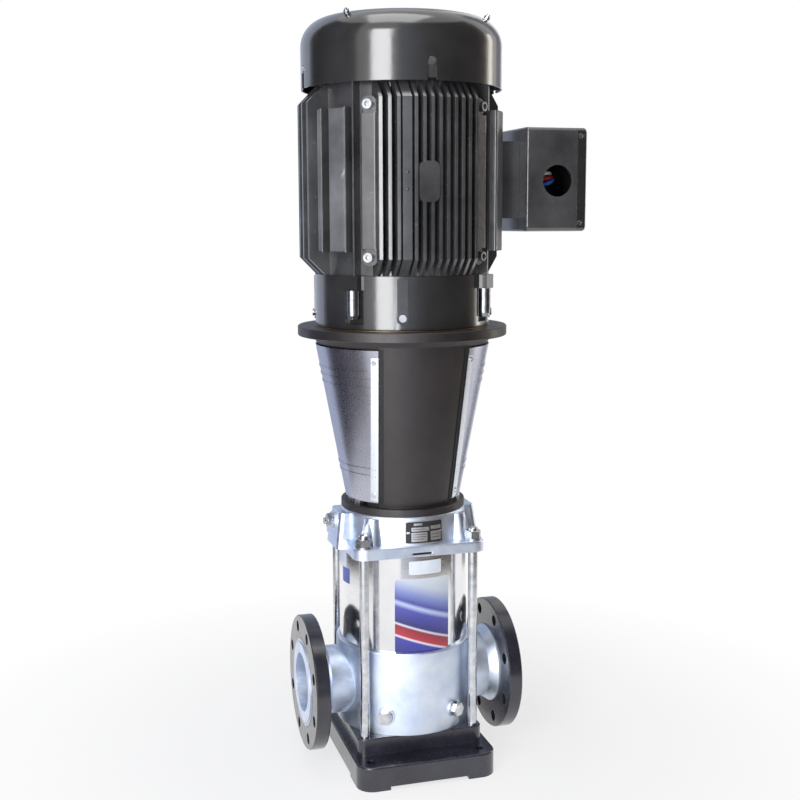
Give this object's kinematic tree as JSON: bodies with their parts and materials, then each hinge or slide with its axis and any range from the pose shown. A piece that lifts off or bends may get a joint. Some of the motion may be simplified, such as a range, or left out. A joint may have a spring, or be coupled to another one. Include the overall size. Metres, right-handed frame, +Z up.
{
  "type": "vertical multistage pump",
  "caption": "Upright in-line water pump with flanged ports, tie-rod sleeve, stool with coupling guards and a finned electric motor with a terminal box.",
  "frame": {"origin": "pump axis at the underside of the base's feet", "axes": "+Z up along the shaft, -X to the suction port, +X to the discharge port and terminal box, -Y to the front"},
  "size_m": [0.4795, 0.3518, 1.254],
  "materials": {
    "black_enamel": "semi-gloss black enamel on cast iron",
    "motor_enamel": "semi-gloss charcoal enamel on rough cast iron",
    "stool_iron": "dark painted cast iron",
    "cast_stainless": "bead-blasted cast stainless steel",
    "polished_stainless": "polished stainless sheet",
    "brushed_stainless": "brushed stainless sheet",
    "bright_fastener": "bright zinc-plated and stainless fasteners",
    "black_oxide": "black oxide steel screws",
    "ground_steel": "ground shaft steel",
    "pressed_stainless": "pressed stainless hydraulics",
    "aluminium_plate": "satin aluminium plate",
    "rubber": "moulded black rubber",
    "copper_gasket": "soft copper sealing washer",
    "carbon": "carbon graphite",
    "lamination": "stacked electrical steel",
    "winding": "varnished copper winding",
    "rotor_aluminium": "die-cast aluminium rotor cage",
    "fan_plastic": "moulded plastic fan",
    "terminal_plastic": "moulded terminal block",
    "lead_insulation": "insulated motor lead"
  },
  "bodies": {
    "pump_frame": {"base_plate": "black_enamel", "pump_casing": "cast_stainless", "flange_retaining_rings": "brushed_stainless", "drain_plugs": "bright_fastener", "drain_plug_gaskets": "copper_gasket", "outer_sleeve": "polished_stainless", "sleeve_seals": "rubber", "pump_head": "cast_stainless", "rating_plate": "aluminium_plate", "vent_plug": "bright_fastener", "tie_rods": "bright_fastener", "tie_rod_nuts": "bright_fastener", "tie_rod_washers": "bright_fastener", "suction_guide": "pressed_stainless", "chamber_1": "pressed_stainless", "chamber_2": "pressed_stainless", "neck_rings": "rubber", "top_chamber": "pressed_stainless", "shaft_bushes": "carbon", "seal_cover": "cast_stainless", "seal_cover_screws": "bright_fastener", "seal_seat": "carbon", "motor_stool": "stool_iron", "stool_bolts": "bright_fastener", "coupling_guard_left": "brushed_stainless", "coupling_guard_right": "brushed_stainless", "guard_screws": "bright_fastener", "drive_end_bell": "motor_enamel", "bell_bolts": "black_oxide", "stator_frame": "motor_enamel", "strip_bolts": "black_oxide", "stator_core": "lamination", "stator_windings": "winding", "bearing_outer_rings": "ground_steel", "fan_end_bell": "motor_enamel", "fan_cover": "motor_enamel", "fan_cover_screws": "bright_fastener", "terminal_box": "motor_enamel", "terminal_box_cover": "motor_enamel", "terminal_box_screws": "bright_fastener", "terminal_block": "terminal_plastic", "motor_leads": "lead_insulation"},
    "rotor": {"pump_shaft": "ground_steel", "impeller_1": "pressed_stainless", "impeller_2": "pressed_stainless", "impeller_clamps": "pressed_stainless", "seal_ring": "ground_steel", "seal_spring": "bright_fastener", "seal_driver": "ground_steel", "coupling_half_left": "black_oxide", "coupling_half_right": "black_oxide", "coupling_screws": "black_oxide", "motor_shaft": "ground_steel", "rotor_core": "rotor_aluminium", "bearing_inner_rings": "ground_steel", "cooling_fan": "fan_plastic"},
    "bearing_cages": {"bearing_balls": "ground_steel"},
    "inlet_ring": {"inlet_flange": "black_enamel"},
    "outlet_ring": {"outlet_flange": "black_enamel"},
    "bleed_screw": {"vent_screw": "bright_fastener"}
  },
  "joints": [
    {"name": "rotor_spin", "type": "hinge", "parent": "pump_frame", "child": "rotor", "pos_m": [0, 0, 0.7], "axis": [0, 0, 1], "continuous": true},
    {"name": "bearing_cage_spin", "type": "hinge", "parent": "pump_frame", "child": "bearing_cages", "pos_m": [0, 0, 0.8], "axis": [0, 0, 1], "continuous": true},
    {"name": "inlet_ring_swivel", "type": "hinge", "parent": "pump_frame", "child": "inlet_ring", "pos_m": [-0.1685, 0, 0.14], "axis": [1, 0, 0], "continuous": true},
    {"name": "outlet_ring_swivel", "type": "hinge", "parent": "pump_frame", "child": "outlet_ring", "pos_m": [0.1685, 0, 0.14], "axis": [1, 0, 0], "continuous": true},
    {"name": "bleed_screw_turn", "type": "hinge", "parent": "pump_frame", "child": "bleed_screw", "pos_m": [-0.13, 0, 0.422], "axis": [-1, 0, 0], "range_deg": [0, 720]}
  ],
  "couplings": [
    {"joint": "bearing_cage_spin", "follows": "rotor_spin", "ratio": 0.3756}
  ]
}
